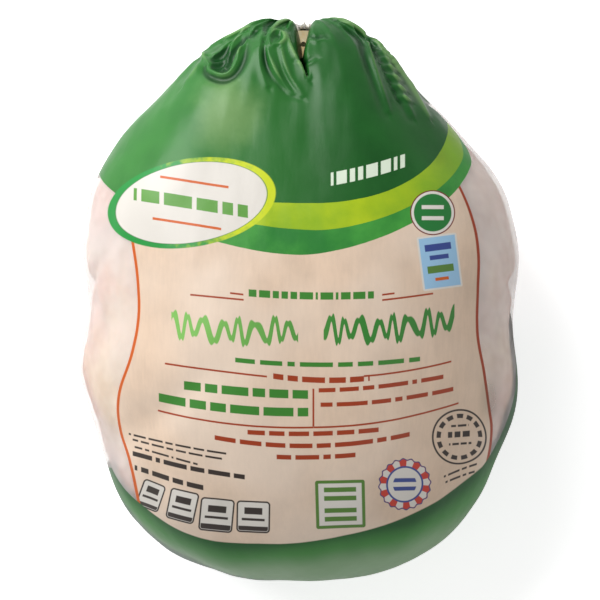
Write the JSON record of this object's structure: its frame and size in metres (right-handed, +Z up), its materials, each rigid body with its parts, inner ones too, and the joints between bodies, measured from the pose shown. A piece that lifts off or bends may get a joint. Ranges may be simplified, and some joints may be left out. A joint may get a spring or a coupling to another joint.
{
  "type": "bagged whole raw chicken",
  "caption": "Whole raw chicken lying on its back in a sealed printed plastic bag with clear sides, gathered and closed between the legs.",
  "frame": {"origin": "centre of the bounding box on the surface that the bag lies on", "axes": "+Z up, away from the bird's back; +Y from the neck end towards the legs and the gathered end; +X to the right seen from above"},
  "size_m": [0.194, 0.25, 0.1151],
  "materials": {
    "printed_film": "thin glossy film printed in greens and beige, clear and slightly milky at the sides",
    "clear_film": "clear thin film, slightly milky, in sharp pleats",
    "raw_skin": "moist raw poultry skin, pale pink to cream",
    "closure_sleeve": "satin tan plastic"
  },
  "bodies": {
    "root": {"bagged_chicken": "printed_film", "neck_closure": "closure_sleeve"}
  },
  "joints": []
}
